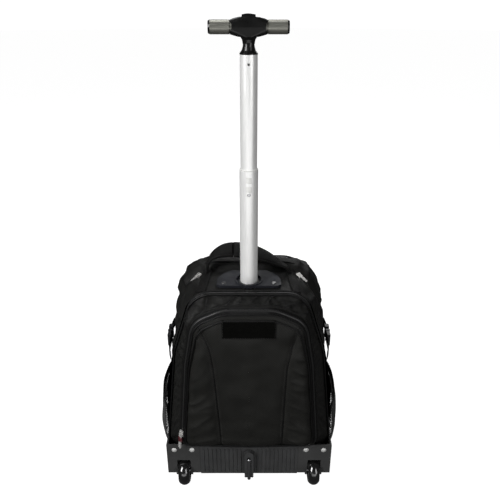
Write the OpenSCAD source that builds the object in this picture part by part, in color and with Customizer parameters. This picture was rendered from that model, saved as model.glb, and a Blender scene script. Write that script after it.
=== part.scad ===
// Wheeled laptop backpack with a single telescoping pole and a T-handle.
// Millimetres, +Z up, front towards -Y, origin on the floor under the middle of the object.

/* [Bag body] */
// Half width of the bag at its base
body_half = 163; // [150:1:170]
// Height of the top of the main compartment above the floor
body_top = 440; // [430:1:450]
// Clearance between the floor and the underside of the bag
base_z = 30; // [28:1:34]
// Thickness of the sewn fabric and foam shell
shell = 3; // [2:0.5:4]

/* [Wheels] */
// Outer diameter of the wheels
wheel_d = 58; // [56:1:60]
// Width of the wheels
wheel_w = 22; // [18:1:24]
// Distance from the middle of the bag to the middle of a wheel
wheel_x = 131; // [128:1:134]
// Diameter of the wheel axles
axle_d = 6; // [5:0.5:7]

/* [Wheel housings] */
// Width of a corner housing
housing_w = 66; // [64:1:68]
// Height of the top edge of a housing above the floor
housing_top = 104; // [98:1:108]
// Wall thickness of the housings
housing_wall = 3; // [2.5:0.5:3.5]

/* [Telescoping pole] */
// Outer diameter of the inner tube
inner_d = 28; // [26:0.5:29]
// Outer diameter of the middle tube
middle_d = 32; // [31.5:0.5:33]
// Outer diameter of the fixed tube
outer_d = 36; // [35.5:0.5:37]
// Wall thickness of the three tubes
tube_wall = 1.2; // [1:0.1:1.4]
// Height of the top of the fixed tube
outer_top = 428; // [427:0.5:429]
// Height of the top of the middle tube, pulled out
middle_top = 642; // [600:1:645]
// Height of the top of the inner tube, pulled out
inner_top = 826; // [790:1:830]

/* [Handle] */
// Length of the T-bar across the end caps
bar_len = 124; // [110:1:130]
// Diameter of the grip tubes
grip_d = 21; // [19:0.5:23]
// Width of the moulded head in the middle of the T-bar
head_w = 59; // [50:1:64]
// Travel of the push button
button_travel = 3.5; // [2.5:0.5:4]

/* [Side pockets] */
// Half width of the object over the side pockets
pocket_half = 188; // [182:1:190]

/* [Hidden] */
$fn = 64;
pole_y = -8;
front_y = -90;
seam_y = -50;
back_y = 97;
rear_y = 112;
wheel_y = pole_y - 73.5;
wheel_z = wheel_d / 2;
housing_in = wheel_x - housing_w / 2;
housing_out = wheel_x + housing_w / 2;
housing_back = seam_y - 1;
well_half = wheel_w / 2 + 2.5;
well_top = 64;
well_back = wheel_y + wheel_d / 2 + 3;
ear_wall = 3;
ear_r = 9;
run = 0.05;
gap = 0.3;
middle_bore = middle_d - 2 * tube_wall;
outer_bore = outer_d - 2 * tube_wall;
inner_bore = inner_d - 2 * tube_wall;
outer_base = 50.2;
middle_base = 352;
inner_base = 590;
bush_len = 34;
plug_len = 30;
lock_z_upper = inner_base + 11;
lock_z_lower = middle_base + 11;
pin_d = 6;
bar_z = 865;
head_z0 = 851;
head_z1 = 879.5;
neck_waist_z = 842;
top_z = 426;
plate_t = 5;
plate_top = top_z + plate_t + 0.3;
plate_hole_d = 46;
rivet_x = 17.5;
rivet_z = 91;
strap_z = 288;
strap_w = 20;
buckle_y = 26;
handle_foot_z = top_z + 4.2;
step_y = 33;
crest_y = 46;
board_z = base_z + 2 * shell + 1;
screw_x = 46;
screw_y = pole_y - 14;
base_screw_x = 32;
main_slider_x = 96;
main_slider_z = 421.7;
zip_x = 129.5;
zip_y = -96.5;
zip_z = 142;
zip_lean = 4.9;
arc_lean = 6.2;
main_slider_y = 22;

fabric = [0.16, 0.16, 0.17];
dark_fabric = [0.1, 0.1, 0.11];
plastic = [0.24, 0.25, 0.26];
satin = [0.75, 0.76, 0.77];
steel = [0.6, 0.6, 0.62];

// ---------- shared shapes ----------

module mirrored() {
    children();
    mirror([1, 0, 0]) children();
}

module tube(d, bore, z0, z1) {
    difference() {
        translate([0, pole_y, z0]) cylinder(d = d, h = z1 - z0);
        translate([0, pole_y, z0 - 1]) cylinder(d = bore, h = z1 - z0 + 2);
    }
}

module rod_x(r, x0, x1, y, z) {
    translate([x0, y, z]) rotate([0, 90, 0]) cylinder(r = r, h = x1 - x0);
}

module rod_y(r, x, y0, y1, z) {
    translate([x, y0, z]) rotate([-90, 0, 0]) cylinder(r = r, h = y1 - y0);
}

// Flat plate in the XZ plane with rounded corners, made of exact arcs
module round_plate(x0, x1, y0, y1, z0, z1, r) {
    for (x = [x0 + r, x1 - r], z = [z0 + r, z1 - r]) rod_y(r, x, y0, y1, z);
    translate([x0 + r, y0, z0]) cube([x1 - x0 - 2 * r, y1 - y0, z1 - z0]);
    translate([x0, y0, z0 + r]) cube([x1 - x0, y1 - y0, z1 - z0 - 2 * r]);
}

// One upright section of a bag, an arch given by rows of [half width, height, corner radius]
module slice(y, rows, inset = 0) {
    for (row = rows, side = [-1, 1]) {
        r = row[2] - inset;
        translate([side * (row[0] - row[2]), y, row[1]]) rotate([-90, 0, 0]) cylinder(r = r, h = 0.5, $fn = 40);
    }
}

body_rows = [
    [body_half, base_z + 33, 30],
    [body_half, 212, 32],
    [149, 300, 40],
    [134, body_top - 70, 70]
];
front_rows = [
    [body_half, base_z + 33, 30],
    [body_half - 2, 212, 32],
    [143, 300, 40],
    [118, top_z - 46, 46]
];
arc_rows = [
    [122, base_z + 30, 27],
    [161, 98, 30],
    [139, 300, 40],
    [112, top_z - 42, 46]
];
pocket_rows = [
    [134, 125, 20],
    [119, 300, 30],
    [108, 362, 46],
    [92, 363, 56]
];
swell_rows = [
    [106, 156, 20],
    [92, 280, 30],
    [72, 322, 40]
];

// Middle of the carrying handle from left to right: [x, y, z, half width, lean of the flat side]
handle_line = [
    [-80, 26, handle_foot_z, 5, 0],
    [-79, 29, handle_foot_z + 12, 8, 6],
    [-72, 36, handle_foot_z + 24, 13, 16],
    [-56, 43, handle_foot_z + 33, 17, 24],
    [-34, 47, handle_foot_z + 37, 18, 26],
    [-8, 47, handle_foot_z + 35, 18, 26],
    [16, 45, handle_foot_z + 29, 18, 26],
    [38, 41, handle_foot_z + 21, 16, 24],
    [58, 36, handle_foot_z + 12, 13, 16],
    [73, 30, handle_foot_z + 6.5, 8, 6],
    [80, 26, handle_foot_z, 5, 0]
];

// ---------- soft shells ----------

module main_form(grow) {
    hull() {
        slice(seam_y + 0.5 - grow, front_rows, -grow);
        slice(crest_y, front_rows, -grow);
    }
    hull() {
        slice(step_y - grow, front_rows, -grow);
        slice(crest_y, body_rows, 3 - grow);
        slice(crest_y + 16, body_rows, -grow);
        slice(back_y - 12, body_rows, 8 - grow);
        slice(back_y - 0.5 + grow, body_rows, 24 - grow);
    }
}

module main_compartment() {
    color(fabric) difference() {
        main_form(0);
        main_form(-shell);
        translate([0, pole_y, top_z - 30]) cylinder(d = plate_hole_d, h = 60);
        for (x = [-screw_x, screw_x]) translate([x, screw_y, top_z - 10]) cylinder(r = 2.6, h = 12);
        for (x = [-wheel_x, wheel_x]) translate([x - well_half - 5, -60, 0]) cube([2 * well_half + 10, 13.5, well_top + 6]);
    }
}

module front_form(grow) {
    hull() {
        slice(seam_y - 0.5 + grow, arc_rows, -grow);
        slice(-62, arc_rows, 0.6 - grow);
        slice(front_y + 4.5 - grow, pocket_rows, -3 - grow);
    }
}

module front_compartment() {
    color(fabric) difference() {
        front_form(0);
        front_form(-shell);
        mirrored() translate([housing_in - 1, -100, 0]) cube([80, 60, well_top + 6]);
    }
}

module front_pocket() {
    color(fabric) difference() {
        pocket_form(0);
        pocket_form(-shell);
    }
}

module pocket_form(grow) {
    hull() {
        slice(front_y + 3 + grow, pocket_rows, -grow);
        slice(-100 - grow, pocket_rows, 10 - grow);
        slice(-rear_y - grow, swell_rows, -grow);
    }
}

module side_pocket_form(grow) {
    hull() {
        rod_x(22 + grow, body_half - 10, body_half + 3 + grow, -28, base_z + 26, $fn = 32);
        rod_x(22 + grow, body_half - 10, body_half + 3 + grow, 50, base_z + 26, $fn = 32);
        rod_x(12 + grow, body_half - 10, body_half + 8 + grow, -38, 170, $fn = 32);
        rod_x(12 + grow, body_half - 10, body_half + 8 + grow, 60, 200, $fn = 32);
        rod_x(30 + grow, body_half - 10, pocket_half - 3 + grow, 8, 92, $fn = 32);
        rod_x(24 + grow, body_half - 10, pocket_half + grow, 8, 92, $fn = 32);
    }
}

module side_pocket() {
    color(dark_fabric) difference() {
        side_pocket_form(0);
        side_pocket_form(-2);
        translate([0, -120, 0]) cube([body_half + 2 * gap, 240, 300]);
        translate([body_half, 8, 172]) rotate([10, 0, 0]) translate([-20, -100, 0]) cube([80, 200, 60]);
    }
}

module laptop_divider() {
    color(dark_fabric) round_plate(-118, 118, 44, 52, base_z + 14, 372, 20);
}

module back_board() {
    color("black") round_plate(-112, 112, back_y - 14, back_y - 11.5, base_z + 18, 376, 24);
}

module bottom_board() {
    color("black") difference() {
        translate([-134, -42, board_z]) cube([268, 102, 3]);
        for (x = [-base_screw_x, base_screw_x]) translate([x, pole_y, 0]) cylinder(r = 2.5, h = 100);
    }
}

// ---------- back and carrying straps ----------

module back_pads() {
    color(dark_fabric) {
        for (x = [-1, 1]) hull() {
            for (z = [130, 330]) rod_y(24, x * (46 - (z - 130) * 0.03), back_y + gap, back_y + 5, z, $fn = 32);
            for (z = [130, 330]) rod_y(17, x * (46 - (z - 130) * 0.03), back_y + gap, back_y + 8.5, z, $fn = 32);
        }
        hull() {
            for (x = [-62, 62]) rod_y(22, x, back_y + gap, back_y + 5, 74, $fn = 32);
            for (x = [-62, 62]) rod_y(16, x, back_y + gap, back_y + 9, 74, $fn = 32);
        }
    }
}

strap_points = [[58, 392, 24], [72, 330, 26], [84, 260, 27], [92, 200, 24], [98, 168, 18]];

module shoulder_strap() {
    color(dark_fabric) for (i = [0 : len(strap_points) - 2]) hull() {
        for (p = [strap_points[i], strap_points[i + 1]]) {
            rod_y(p[2], p[0] + 18, rear_y - 9, rear_y - 3, p[1], $fn = 32);
            rod_y(p[2] - 5, p[0] + 18, rear_y - 9, rear_y, p[1], $fn = 32);
        }
    }
}

module strap_webbing() {
    color("black") mirrored() hull() {
        rod_y(9, 117, rear_y - 10.8, rear_y - 9.3, 132, $fn = 32);
        rod_y(9, 130, back_y + gap, back_y + 1.8, 66, $fn = 32);
    }
}

module strap_adjusters() {
    color("black") mirrored() difference() {
        round_plate(101, 133, rear_y - 9, rear_y - 5, 122, 150, 4);
        for (z = [127, 134, 141]) round_plate(105, 129, rear_y - 12, rear_y, z, z + 4, 1.5);
    }
}

// ---------- trims ----------

module loop_patch() {
    color("black") translate([0, -rear_y + 4.2, 386]) rotate([-11, 0, 0]) round_plate(-47, 47, -1.2, 0, -17, 17, 2);
}

// Piping that follows the edge of the front compartment
module piping() {
    color("black") for (y = [seam_y - 3, seam_y - 15]) difference() {
        arc_slab(y, y + 2.4, 2.4);
        arc_slab(y - 1, y + 4, gap);
        translate([-200, -100, 0]) cube([400, 100, housing_top + 2]);
    }
}

module arc_slab(y0, y1, grow) {
    hull() {
        slice(y0, arc_rows, -grow);
        slice(y1 - 0.5, arc_rows, -grow);
    }
}

module compression_straps() {
    color("black") mirrored() {
        hull() {
            translate([body_half - 13, -46, strap_z - strap_w / 2]) cube([2, 0.5, strap_w]);
            translate([body_half - 9.4, buckle_y - 20, strap_z - strap_w / 2]) cube([1.8, 13, strap_w]);
        }
        hull() {
            translate([body_half - 6, buckle_y + 18.2, strap_z - strap_w / 2]) cube([1.6, 0.5, strap_w]);
            translate([body_half - 7, buckle_y + 46, strap_z - strap_w / 2]) cube([2, 0.5, strap_w]);
        }
    }
}

// Socket of a side-release buckle, open towards the front
module buckle_socket() {
    color("black") translate([body_half - 8.2, buckle_y, strap_z]) difference() {
        translate([0, -6, -13]) cube([8, 24, 26]);
        translate([2, -7, -10]) cube([4, 20, 20]);
        for (z = [-14, 6]) translate([-1, -1, z]) cube([10, 8, 8]);
    }
}

module buckle_clip() {
    color("black") translate([body_half - 8.2, buckle_y, strap_z]) {
        translate([1, -22, -12.5]) cube([6, 15, 25]);
        for (z = [-9.6, 5.6]) translate([2.3, -8, z]) cube([3.4, 18, 4]);
        translate([2.6, -8, -1.5]) cube([2.8, 14, 3]);
    }
}

// ---------- wheels and their housings ----------

module wheel_housing() {
    color(plastic) difference() {
        union() {
            round_plate(housing_in, housing_out, front_y, front_y + housing_wall, base_z, housing_top, 3);
            translate([housing_out - housing_wall, front_y, base_z]) cube([housing_wall, housing_back - front_y, housing_top - base_z]);
            translate([housing_in, front_y, base_z]) cube([housing_w, housing_back - front_y, housing_wall]);
            for (x = [wheel_x - well_half - ear_wall, wheel_x + well_half]) {
                translate([x, front_y, base_z]) cube([ear_wall, well_back - front_y, well_top - base_z + 2]);
                rod_x(ear_r, x, x + ear_wall, wheel_y, wheel_z);
            }
            translate([wheel_x - well_half, front_y, well_top]) cube([2 * well_half, well_back - front_y, 2]);
            translate([wheel_x - well_half - ear_wall, well_back, base_z]) cube([2 * (well_half + ear_wall), 2, well_top - base_z + 2]);
        }
        translate([wheel_x - well_half, front_y - 1, 0]) cube([2 * well_half, well_back - front_y + 1, well_top]);
        rod_x(axle_d / 2, housing_in + 5, housing_out - 5, wheel_y, wheel_z);
        rod_x(5.5, housing_in + 5, wheel_x - well_half - ear_wall, wheel_y, wheel_z);
        rod_x(5.5, wheel_x + well_half + ear_wall, housing_out - 5, wheel_y, wheel_z);
        for (x = [-rivet_x, rivet_x]) rod_y(2.5, wheel_x + x, front_y - 1, front_y + 10, rivet_z);
    }
}

module housing_rivets() {
    color(steel) mirrored() for (x = [-rivet_x, rivet_x]) {
        translate([wheel_x + x, front_y, rivet_z]) rotate([90, 0, 0]) intersection() {
            translate([0, 0, -5]) sphere(r = 7.5);
            cylinder(r = 5.2, h = 4);
        }
        rod_y(2.5, wheel_x + x, front_y, front_y + housing_wall, rivet_z);
        rod_y(4.5, wheel_x + x, front_y + housing_wall, front_y + housing_wall + 1.2, rivet_z);
    }
}

module axle_bolts() {
    color(steel) mirrored() {
        rod_x(axle_d / 2, wheel_x - well_half - ear_wall - 1, wheel_x + well_half + ear_wall + 1, wheel_y, wheel_z);
        for (x = [wheel_x - well_half - ear_wall - 2.5, wheel_x + well_half + ear_wall]) {
            rod_x(5, x, x + 2.5, wheel_y, wheel_z);
        }
    }
}

// Round-shouldered tyre, hub and two bearings turning on one axle
module tyre() {
    color("black") translate([wheel_x, wheel_y, wheel_z]) rotate([0, 90, 0]) rotate_extrude($fn = 96) difference() {
        intersection() {
            translate([18, -wheel_w / 2]) square([wheel_d / 2 - 18, wheel_w]);
            translate([wheel_d / 2 - 13, 0]) circle(r = 13);
        }
        translate([0, -wheel_w]) square([18, 2 * wheel_w]);
    }
}

module wheel_hub() {
    color([0.7, 0.7, 0.68]) translate([wheel_x, wheel_y, wheel_z]) rotate([0, 90, 0]) difference() {
        union() {
            rotate_extrude() translate([14.5, -8]) square([3.5, 16]);
            rotate_extrude() translate([11, -9]) square([2.2, 18]);
            for (a = [0 : 60 : 300]) rotate([0, 0, a]) translate([12.5, -1.5, -7]) cube([3, 3, 14]);
            rotate_extrude() translate([11, -1.5]) square([5, 3]);
        }
        translate([0, 0, -20]) cylinder(r = 11, h = 40);
    }
}

module wheel_bearings() {
    color(steel) translate([wheel_x, wheel_y, wheel_z]) rotate([0, 90, 0]) for (z = [-9.5, 2.5]) {
        translate([0, 0, z]) rotate_extrude() difference() {
            translate([axle_d / 2 + run, 0]) square([11 - axle_d / 2 - run, 7]);
            for (v = [0, 6.4]) translate([5.6, v - 0.01]) square([3.2, 0.62]);
        }
    }
}

module kick_plate() {
    color(plastic) {
        translate([-housing_in + gap, front_y, base_z - 2]) cube([2 * housing_in - 2 * gap, 3, housing_top - base_z - 1]);
        translate([-housing_in + gap, front_y, base_z - 2]) cube([2 * housing_in - 2 * gap, 66, 3]);
        for (x = [-11 : 11]) if (abs(x) > 1) {
            rod_z(1.2, x * 8.2, front_y, base_z + 2, housing_top - 10);
        }
    }
}

module rod_z(r, x, y, z0, z1) {
    translate([x, y, z0]) cylinder(r = r, h = z1 - z0, $fn = 24);
}

module centre_skid() {
    color(plastic) difference() {
        union() {
            rod_y(9, 0, front_y - 9, front_y - 1.5, 84);
            translate([-9, front_y - 9, base_z - 4]) cube([18, 7.5, 84 - base_z + 4]);
        }
        translate([0, front_y - 9, 0]) cylinder(r = 3.5, h = 80);
    }
}

module skid_rod() {
    color(satin) translate([0, front_y - 9, base_z - 7]) {
        cylinder(r = 3.4, h = 50);
        translate([0, 0, 50]) sphere(r = 3.4);
    }
}

module rear_feet() {
    color(plastic) mirrored() {
        translate([104, 70, 6]) cylinder(r1 = 10, r2 = 12, h = base_z - 6);
        translate([104, 70, 0]) cylinder(r = 9.4, h = 6);
        translate([84, 58, base_z - 4]) cube([40, 24, 4]);
    }
}

// ---------- pole ----------

module grommet_outline() {
    intersection() {
        translate([-59, -20]) square([118, 60]);
        union() {
            translate([0, -14]) circle(r = 61, $fn = 96);
            for (x = [-49, 49]) translate([x, -10]) circle(r = 10);
        }
    }
    translate([-49, -24]) square([98, 20]);
    for (x = [-49, 49]) translate([x, -14]) circle(r = 10);
}

module grommet_plate() {
    color([0.2, 0.21, 0.24]) difference() {
        union() {
            translate([0, pole_y, top_z + 0.3]) linear_extrude(plate_t) intersection() {
                grommet_outline();
                translate([-60, -24]) square([120, 62]);
            }
            translate([0, pole_y, top_z + 0.3]) cylinder(d = plate_hole_d + 6, h = plate_t + 1.5);
        }
        translate([0, pole_y, top_z - 20]) cylinder(d = outer_d + 2 * run, h = 60);
        translate([0, pole_y, top_z + 1.8]) cylinder(d = plate_hole_d, h = 60);
        for (x = [-screw_x, screw_x]) translate([x, screw_y, top_z - 20]) cylinder(r = 2.2, h = 60);
    }
}

// Four like screws: two through the grommet plate, two through the foot of the pole
module pole_screws() {
    color(steel) {
        for (x = [-screw_x, screw_x]) translate([x, screw_y, plate_top]) screw();
        for (x = [-base_screw_x, base_screw_x]) translate([x, pole_y, outer_base - 4]) screw();
    }
}

module screw() {
    cylinder(r1 = 4.4, r2 = 3.4, h = 1.6);
    translate([0, 0, -7]) cylinder(r = 2.2, h = 7);
}

module outer_tube() {
    color(satin) difference() {
        tube(outer_d, outer_bore, outer_base, outer_top);
        translate([0, pole_y, lock_z_lower]) rotate([90, 0, 0]) cylinder(d = pin_d + 0.4, h = 30);
    }
}

// Split collar that guides a tube in the mouth of the next one
module bush(bore, d, top) {
    tube(d - 0.04, bore, top - bush_len, top);
    tube(d + 2 * tube_wall, bore, top, top + 1.5);
}

module outer_bush() {
    color("dimgray") bush(middle_d + 2 * run, outer_bore, outer_top);
}

module middle_bush() {
    color("gainsboro") {
        bush(inner_d + 2 * run, middle_bore, middle_top);
        for (z = [window_top - 4.8, window_low - 4.8]) intersection() {
            tube(middle_d, middle_bore - 0.2, z, z + 9.6);
            translate([-4.8, pole_y - middle_d, z]) cube([9.6, middle_d, 9.6]);
        }
    }
}

window_top = middle_top - 15;
window_low = middle_top - 31;

module tube_base() {
    color(plastic) difference() {
        union() {
            translate([0, pole_y, outer_base - 10]) cylinder(d = outer_d + 8, h = 50);
            translate([-40, pole_y - 18, outer_base - 10]) cube([80, 36, 6]);
        }
        translate([0, pole_y, outer_base]) cylinder(d = outer_d, h = 60);
        for (x = [-base_screw_x, base_screw_x]) translate([x, pole_y, 0]) cylinder(r = 2.2, h = 100);
    }
}

module middle_tube() {
    color(satin) difference() {
        tube(middle_d, middle_bore, middle_base, middle_top);
        for (z = [window_top - 5, window_low - 5]) translate([-5, pole_y - middle_d, z]) cube([10, middle_d, 10]);
        for (z = [lock_z_upper, lock_z_lower]) translate([0, pole_y, z]) rotate([90, 0, 0]) cylinder(d = pin_d + 0.4, h = 30);
    }
}

// Glide plug in the foot of a tube, bored across for its lock pin
module plug(d, stem_d, z) {
    difference() {
        union() {
            translate([0, pole_y, z - 8]) cylinder(d = d, h = 8);
            translate([0, pole_y, z]) cylinder(d = stem_d, h = plug_len);
        }
        translate([0, pole_y, z - 9]) cylinder(r = 3, h = plug_len + 20);
    }
}

module lock_hole(z) {
    translate([0, pole_y, z]) rotate([90, 0, 0]) cylinder(d = pin_d + 2 * run, h = 30);
}

module middle_plug() {
    color("dimgray") difference() {
        plug(outer_bore - 2 * run, middle_bore, middle_base);
        lock_hole(lock_z_lower);
    }
}

module inner_plug() {
    color("dimgray") difference() {
        plug(middle_bore - 2 * run, inner_bore, inner_base);
        lock_hole(lock_z_upper);
    }
}

// Spring-loaded pin, drawn back until its tip is flush with its tube
module lock_pin(tip, z) {
    color(steel) translate([0, pole_y, z]) rotate([90, 0, 0]) {
        translate([0, 0, tip - 8]) cylinder(d = pin_d, h = 7);
        translate([0, 0, tip - 1]) cylinder(d1 = pin_d, d2 = pin_d - 1.2, h = 0.9);
    }
}

module inner_tube() {
    color(satin) difference() {
        tube(inner_d, inner_bore, inner_base, inner_top);
        lock_hole(lock_z_upper);
        translate([0, pole_y - 20, inner_top - 14]) rotate([-90, 0, 0]) cylinder(r = 2, h = 20);
    }
}

// ---------- handle ----------

module handle_neck() {
    color("black") difference() {
        translate([0, pole_y, 0]) rotate_extrude() polygon([
            [4.2, inner_top - 28], [inner_bore / 2, inner_top - 28], [inner_bore / 2, inner_top],
            [14.4, inner_top], [14.4, inner_top + 1.5], [11, inner_top + 6], [9.4, inner_top + 11],
            [8.9, neck_waist_z - 1], [9.6, neck_waist_z - 0.6], [9.6, neck_waist_z + 1],
            [10.4, neck_waist_z + 5], [13, head_z0], [4.2, head_z0]
        ]);
        translate([0, pole_y - 20, inner_top - 14]) rotate([-90, 0, 0]) cylinder(r = 2, h = 20);
    }
}

// Right half of the head's outline, with an ear above and below the grip tube
head_half = [
    [9, head_z0], [16, head_z0 + 0.5], [24, head_z0 + 2.6], [head_w / 2, head_z0 + 4.4],
    [head_w / 2 - 2.6, head_z0 + 8], [head_w / 2 - 3.6, bar_z], [head_w / 2 - 2.6, head_z1 - 8.6],
    [head_w / 2, head_z1 - 4.6], [24, head_z1 - 2.4], [16, head_z1 - 0.6], [9, head_z1]
];

module handle_head() {
    color("black") difference() {
        intersection() {
            translate([0, pole_y + 14, 0]) rotate([90, 0, 0]) linear_extrude(28) polygon(
                concat(head_half, [for (i = [len(head_half) - 1 : -1 : 0]) [-head_half[i][0], head_half[i][1]]])
            );
            hull() {
                translate([-head_w / 2, pole_y, bar_z]) rotate([0, 90, 0]) cylinder(r = 13, h = head_w);
                translate([0, pole_y, bar_z - 15]) cylinder(r = 12, h = 30);
                translate([-10, pole_y - 11, head_z1 - 1]) cube([20, 22, 1]);
            }
        }
        rod_x(grip_d / 2 - 1.5, 13, head_w, pole_y, bar_z);
        rod_x(grip_d / 2 - 1.5, -head_w, -13, pole_y, bar_z);
        translate([0, pole_y, head_z0 - 1]) cylinder(r = 4.2, h = 30);
        translate([-11, pole_y - 6.5, head_z1 - 9]) cube([22, 13, 12]);
    }
}

module grip_tubes() {
    color([0.6, 0.6, 0.58]) mirrored() difference() {
        union() {
            rod_x(grip_d / 2, head_w / 2 + gap, bar_len / 2 - 3, pole_y, bar_z);
            rod_x(grip_d / 2 - 1.55, 15, head_w / 2 + gap, pole_y, bar_z);
        }
        rod_x(grip_d / 2 - 3.5, 13, bar_len / 2, pole_y, bar_z);
    }
}

module end_caps() {
    color("black") mirrored() {
        translate([bar_len / 2 - 3, pole_y, bar_z]) rotate([0, 90, 0]) cylinder(r1 = grip_d / 2, r2 = grip_d / 2 - 1.4, h = 3);
        rod_x(grip_d / 2 - 3.5, bar_len / 2 - 15, bar_len / 2 - 3, pole_y, bar_z);
    }
}

module push_button() {
    color("black") intersection() {
        union() {
            translate([-10.6, pole_y - 6.2, head_z1 - 4.8]) cube([21.2, 12.4, 10]);
            translate([-8, pole_y - 4, head_z1 - 5.2]) cube([16, 8, 3]);
        }
        translate([0, pole_y + 20, head_z1 - 33.6]) rotate([90, 0, 0]) cylinder(r = 38, h = 40, $fn = 160);
    }
}

module push_rod() {
    color(steel) translate([0, pole_y, inner_base + 30]) cylinder(r = 2.4, h = head_z1 - 5.2 - inner_base - 30);
}

module button_spring() {
    color(steel) translate([0, pole_y, head_z0 + 1.2]) difference() {
        cylinder(r = 4, h = head_z1 - 5.4 - head_z0 - 1.2);
        translate([0, 0, -1]) cylinder(r = 2.9, h = 40);
    }
}

// ---------- grab handle and zip sliders ----------

// Arch of padded webbing, swept along a half ellipse and narrowed at its two feet
module grab_handle() {
    color(dark_fabric) for (i = [0 : len(handle_line) - 2]) {
        hull() for (p = [handle_line[i], handle_line[i + 1]]) {
            translate([p[0], p[1], p[2]]) rotate([p[4] - 90, 0, 0]) cylinder(r = 3.6, h = 2 * p[3], center = true, $fn = 16);
        }
    }
}

// Puts a slider on a zip: outward is -Y, the teeth run along Z
module on_pocket_zip() {
    translate([-zip_x, zip_y, zip_z]) rotate([0, zip_lean, 0]) rotate([0, 0, -45]) children();
}

module on_arc_zip() {
    translate([157.2, seam_y - 7.8, 140]) rotate([0, -arc_lean, 0]) rotate([0, 0, 90]) children();
}

module on_main_zip(side) {
    translate([side * main_slider_x, main_slider_y, main_slider_z]) rotate([0, side * 30, 0]) rotate([-90, 0, 0]) rotate([0, -side * 40, 0]) children();
}

// Zip slider with the bridge that carries its pull
module slider() {
    translate([-4.5, -2.8, -6]) cube([9, 2.6, 12]);
    difference() {
        translate([-1.4, -6, -5]) cube([2.8, 3.4, 10]);
        translate([-2, -5.1, -3.6]) cube([4, 2.3, 5.9]);
    }
}

// Pull tab, hanging from the bridge
module pull(length) {
    difference() {
        round_plate(-3.6, 3.6, -4.8, -3.2, -length, 1.8, 3);
        round_plate(-2, 2, -6, -2, -7, 0.4, 1);
    }
}

module zip_pull() {
    color("silver") on_pocket_zip() {
        pull(15);
        round_plate(-3, 3, -5.4, -2.9, -36, -14.5, 2.5);
    }
}

main_compartment();
front_compartment();
front_pocket();
mirror([1, 0, 0]) side_pocket();  // side_pocket_left
side_pocket();  // side_pocket_right
laptop_divider();
back_board();
bottom_board();
back_pads();
mirror([1, 0, 0]) shoulder_strap();  // shoulder_strap_left
shoulder_strap();  // shoulder_strap_right
strap_webbing();
strap_adjusters();
loop_patch();
piping();
compression_straps();
mirrored() buckle_socket();  // buckle_sockets
mirror([1, 0, 0]) buckle_clip();  // buckle_clip_left
buckle_clip();  // buckle_clip_right
mirror([1, 0, 0]) wheel_housing();  // wheel_housing_left
wheel_housing();  // wheel_housing_right
housing_rivets();
axle_bolts();
mirror([1, 0, 0]) wheel_bearings();  // wheel_bearings_left
wheel_bearings();  // wheel_bearings_right
mirror([1, 0, 0]) wheel_hub();  // wheel_hub_left
wheel_hub();  // wheel_hub_right
mirror([1, 0, 0]) tyre();  // tyre_left
tyre();  // tyre_right
kick_plate();
centre_skid();
skid_rod();
rear_feet();
grommet_plate();
pole_screws();
outer_tube();
outer_bush();
tube_base();
middle_tube();
middle_bush();
middle_plug();
lock_pin(outer_bore / 2 - 0.2, lock_z_lower);  // lower_lock_pin
inner_tube();
inner_plug();
lock_pin(middle_bore / 2 - 0.2, lock_z_upper);  // upper_lock_pin
handle_neck();
handle_head();
grip_tubes();
end_caps();
push_button();
push_rod();
button_spring();
grab_handle();
color("silver") on_pocket_zip() slider();  // zip_slider
zip_pull();
color("dimgray") on_arc_zip() slider();  // arc_slider
color("dimgray") on_arc_zip() pull(22);  // arc_pull
color("silver") for (side = [-1, 1]) on_main_zip(side) slider();  // main_sliders
color("silver") on_main_zip(-1) pull(20);  // main_pull_left
color("silver") on_main_zip(1) pull(20);  // main_pull_right
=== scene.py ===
"""Looks for a wheeled laptop backpack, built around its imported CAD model.

Lengths are in millimetres in this file and turn into metres in make() and at().
"""

import bisect
import math

import bmesh
import bpy
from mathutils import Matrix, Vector, geometry, noise


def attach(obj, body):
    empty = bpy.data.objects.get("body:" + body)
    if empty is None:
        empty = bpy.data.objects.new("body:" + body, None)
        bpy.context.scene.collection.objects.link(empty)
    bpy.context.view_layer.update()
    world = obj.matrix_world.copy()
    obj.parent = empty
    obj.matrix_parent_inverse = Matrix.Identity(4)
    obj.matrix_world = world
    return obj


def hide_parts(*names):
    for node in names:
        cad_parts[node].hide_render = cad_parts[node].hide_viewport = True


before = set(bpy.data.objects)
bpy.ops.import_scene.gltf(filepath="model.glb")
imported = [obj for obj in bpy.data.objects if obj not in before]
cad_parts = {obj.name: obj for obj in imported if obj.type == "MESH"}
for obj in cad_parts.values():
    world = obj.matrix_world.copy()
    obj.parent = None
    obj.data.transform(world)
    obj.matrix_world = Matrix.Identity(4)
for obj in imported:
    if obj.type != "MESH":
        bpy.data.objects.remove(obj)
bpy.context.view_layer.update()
MM = 0.001

# The bag's arch-shaped sections, as rows of half width, height and corner radius
BODY = [(163, 63, 30), (163, 212, 32), (149, 300, 40), (134, 370, 70)]
FRONT = [(163, 63, 30), (161, 212, 32), (143, 300, 40), (118, 380, 46)]
ARC = [(122, 60, 27), (161, 98, 30), (139, 300, 40), (112, 384, 46)]
POCKET = [(134, 125, 20), (119, 300, 30), (108, 362, 46), (92, 363, 56)]
AROUND = 256
PIPE_SIDES = 8
POLE_Y = -8

# Steps in depth: the seam behind the front compartment, the pocket's zip edge and the back panel
SEAM_Y = -49.5
ZIP_EDGE_Y = -88
BACK_Y = 97


# ---------- mesh helpers ----------

def at(x, y, z):
    return Vector((x * MM, y * MM, z * MM))


def subdivided(obj, level):
    obj.modifiers.new("subdivision", "SUBSURF").levels = level
    obj.modifiers["subdivision"].render_levels = level


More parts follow.
